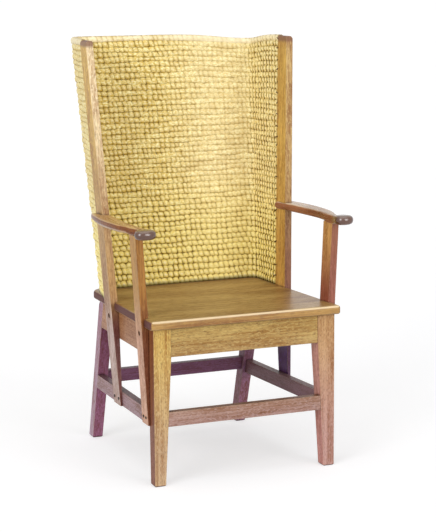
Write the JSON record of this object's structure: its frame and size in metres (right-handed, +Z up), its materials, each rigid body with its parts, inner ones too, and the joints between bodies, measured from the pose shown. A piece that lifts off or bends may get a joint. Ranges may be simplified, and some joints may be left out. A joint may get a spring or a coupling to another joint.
{
  "type": "orkney chair",
  "caption": "High-backed armchair: joined oak frame, board seat and shaped arms, with a wrapped U-shaped back of sewn straw rows between the back posts.",
  "frame": {"origin": "on the floor, under the middle of the chair's bounding box", "axes": "+Z up, -Y the way the sitter faces, +X to the sitter's left"},
  "size_m": [0.5992, 0.5701, 1.077],
  "materials": {
    "oak_frame": "oiled oak, worn",
    "oak_post": "oiled oak, worn",
    "oak_arm": "oak polished by hands",
    "oak_seat": "waxed oak",
    "straw": "natural oat straw, sewn in rows",
    "screw_steel": "darkened steel"
  },
  "bodies": {
    "root": {"front_leg_left": "oak_frame", "front_leg_right": "oak_frame", "back_leg_left": "oak_frame", "back_leg_right": "oak_frame", "front_rail": "oak_frame", "back_rail": "oak_frame", "side_rail_left": "oak_frame", "side_rail_right": "oak_frame", "front_stretcher": "oak_frame", "back_stretcher": "oak_frame", "side_stretcher_left": "oak_frame", "side_stretcher_right": "oak_frame", "corner_blocks": "oak_frame", "arm_post_left": "oak_post", "arm_post_right": "oak_post", "back_post_left": "oak_post", "back_post_right": "oak_post", "arm_left": "oak_arm", "arm_right": "oak_arm", "seat_board": "oak_seat", "straw_back": "straw", "rail_screws": "screw_steel"}
  },
  "joints": []
}
